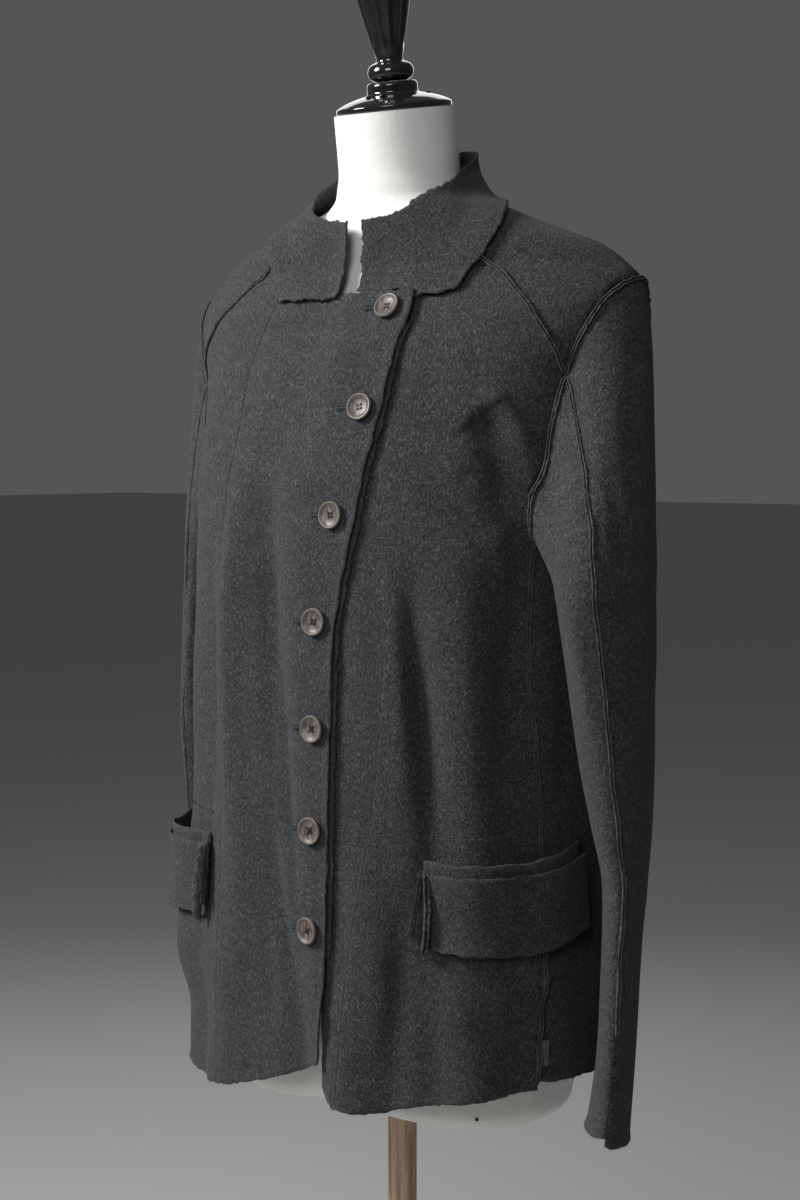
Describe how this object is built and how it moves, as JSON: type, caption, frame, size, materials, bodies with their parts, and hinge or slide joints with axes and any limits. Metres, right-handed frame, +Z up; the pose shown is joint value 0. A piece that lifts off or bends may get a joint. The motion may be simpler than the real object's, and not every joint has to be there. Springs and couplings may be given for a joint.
{
  "type": "wool cardigan on a dress form with stand",
  "caption": "Buttoned long-sleeved cardigan of boiled wool with stand collar and cuffed side pockets, on a limbless dress form with finial, wooden pole and round base.",
  "frame": {"origin": "on the floor, at the centre of the round base's underside", "axes": "+Z up along the pole; the front of the cardigan faces -Y; the wearer's left is +X"},
  "size_m": [0.5326, 0.4, 1.5802],
  "materials": {
    "wool": "boiled wool, dark grey melange with pale and black fibres, matt with a fine nap and raw edges",
    "tag": "small woven tag, dark grey with a paler folded edge, blank",
    "horn": "horn look, warm grey-brown, satin, paler rim",
    "form_cloth": "off-white linen jersey stretched over a padded shell",
    "lacquer": "black gloss lacquer",
    "beech": "pale beech, satin varnish, grain along the pole",
    "base_metal": "black satin powder coat"
  },
  "bodies": {
    "root": {"front_right_centre": "wool", "front_right_side": "wool", "front_facing_right": "wool", "front_left_centre": "wool", "front_left_side": "wool", "back": "wool", "collar": "wool", "yoke_left": "wool", "yoke_right": "wool", "sleeve_left_upper": "wool", "sleeve_left_under": "wool", "sleeve_right_upper": "wool", "sleeve_right_under": "wool", "pocket_left": "wool", "pocket_cuff_left": "wool", "pocket_right": "wool", "pocket_cuff_right": "wool", "side_tag": "tag", "button_1": "horn", "button_2": "horn", "button_3": "horn", "button_4": "horn", "button_5": "horn", "button_6": "horn", "button_7": "horn", "dress_form": "form_cloth", "neck_cap": "lacquer", "finial": "lacquer", "pole": "beech", "base": "base_metal"}
  },
  "joints": []
}
